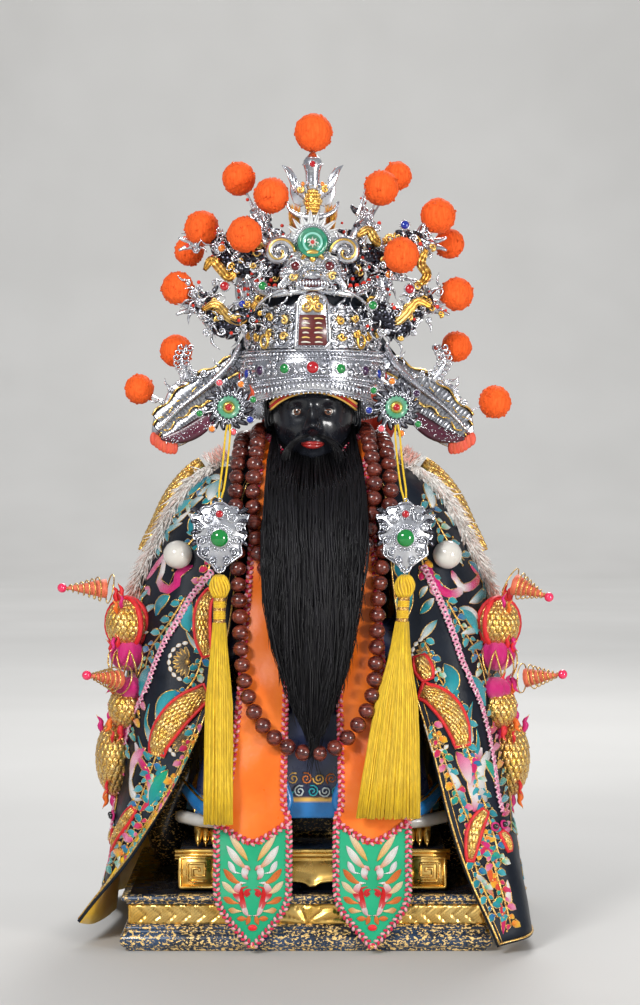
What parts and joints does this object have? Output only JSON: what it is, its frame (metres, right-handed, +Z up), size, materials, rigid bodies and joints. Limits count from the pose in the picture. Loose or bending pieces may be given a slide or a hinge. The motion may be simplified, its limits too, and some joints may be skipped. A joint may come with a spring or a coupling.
{
  "type": "taoist deity statue",
  "caption": "Seated deity statue with a long hair beard, embroidered cape, satin stole, prayer beads and a pompom crown, on a lacquered plinth",
  "frame": {"origin": "on the plinth's underside, below the figure's axis", "axes": "+Z up, the figure faces -Y, +X to the right as seen from the front"},
  "size_m": [0.3456, 0.2321, 0.5617],
  "materials": {
    "bead_wood": "polished dark red wood",
    "black_hair": "long straight hair",
    "black_lacquer": "glossy black lacquer on wood, with gilding",
    "black_satin": "satin with gold, teal, magenta and white embroidery",
    "gilt": "gilt carving over black lacquer",
    "gold_thread": "padded gold scales outlined in red cord",
    "jade": "polished green ring on a white ground",
    "orange_satin": "satin, with green satin ends and pink and white braid",
    "pearl": "pearl lustre",
    "red_cloth": "plain cloth",
    "red_felt": "fluffy yarn ball on a wire",
    "silver": "bright silver plate with gilt details",
    "white_fur": "long fur, pink and brown at the tips",
    "yellow_silk": "silk thread"
  },
  "bodies": {
    "root": {"beard": "black_hair", "cape": "black_satin", "crown_band": "silver", "crown_cap": "black_lacquer", "crown_disc": "jade", "crown_dragons_left": "silver", "crown_dragons_right": "silver", "crown_finial": "silver", "crown_halo": "silver", "crown_mask": "silver", "crown_plaque": "gilt", "crown_ribbon": "red_cloth", "crown_wing_left": "silver", "crown_wing_right": "silver", "dais": "gilt", "dragon_body_left": "gold_thread", "dragon_body_right": "gold_thread", "dragon_head_left": "gold_thread", "dragon_head_right": "gold_thread", "figure": "black_lacquer", "fur_left": "white_fur", "fur_right": "white_fur", "pearl_left": "pearl", "pearl_right": "pearl", "pendant_cord_left": "yellow_silk", "pendant_cord_right": "yellow_silk", "pendant_left": "silver", "pendant_right": "silver", "plinth": "black_lacquer", "pompom_01": "red_felt", "pompom_02": "red_felt", "pompom_03": "red_felt", "pompom_04": "red_felt", "pompom_05": "red_felt", "pompom_06": "red_felt", "pompom_07": "red_felt", "pompom_08": "red_felt", "pompom_09": "red_felt", "pompom_10": "red_felt", "pompom_11": "red_felt", "pompom_12": "red_felt", "pompom_13": "red_felt", "pompom_14": "red_felt", "pompom_15": "red_felt", "pompom_16": "red_felt", "pompom_17": "red_felt", "prayer_beads": "bead_wood", "rosette_left": "silver", "rosette_right": "silver", "shoulder_scales_left": "gold_thread", "shoulder_scales_right": "gold_thread", "spring_left_lower": "gold_thread", "spring_left_upper": "gold_thread", "spring_right_lower": "gold_thread", "spring_right_upper": "gold_thread", "stole": "orange_satin", "tassel_left": "yellow_silk", "tassel_right": "yellow_silk", "throne": "black_lacquer"}
  },
  "joints": []
}
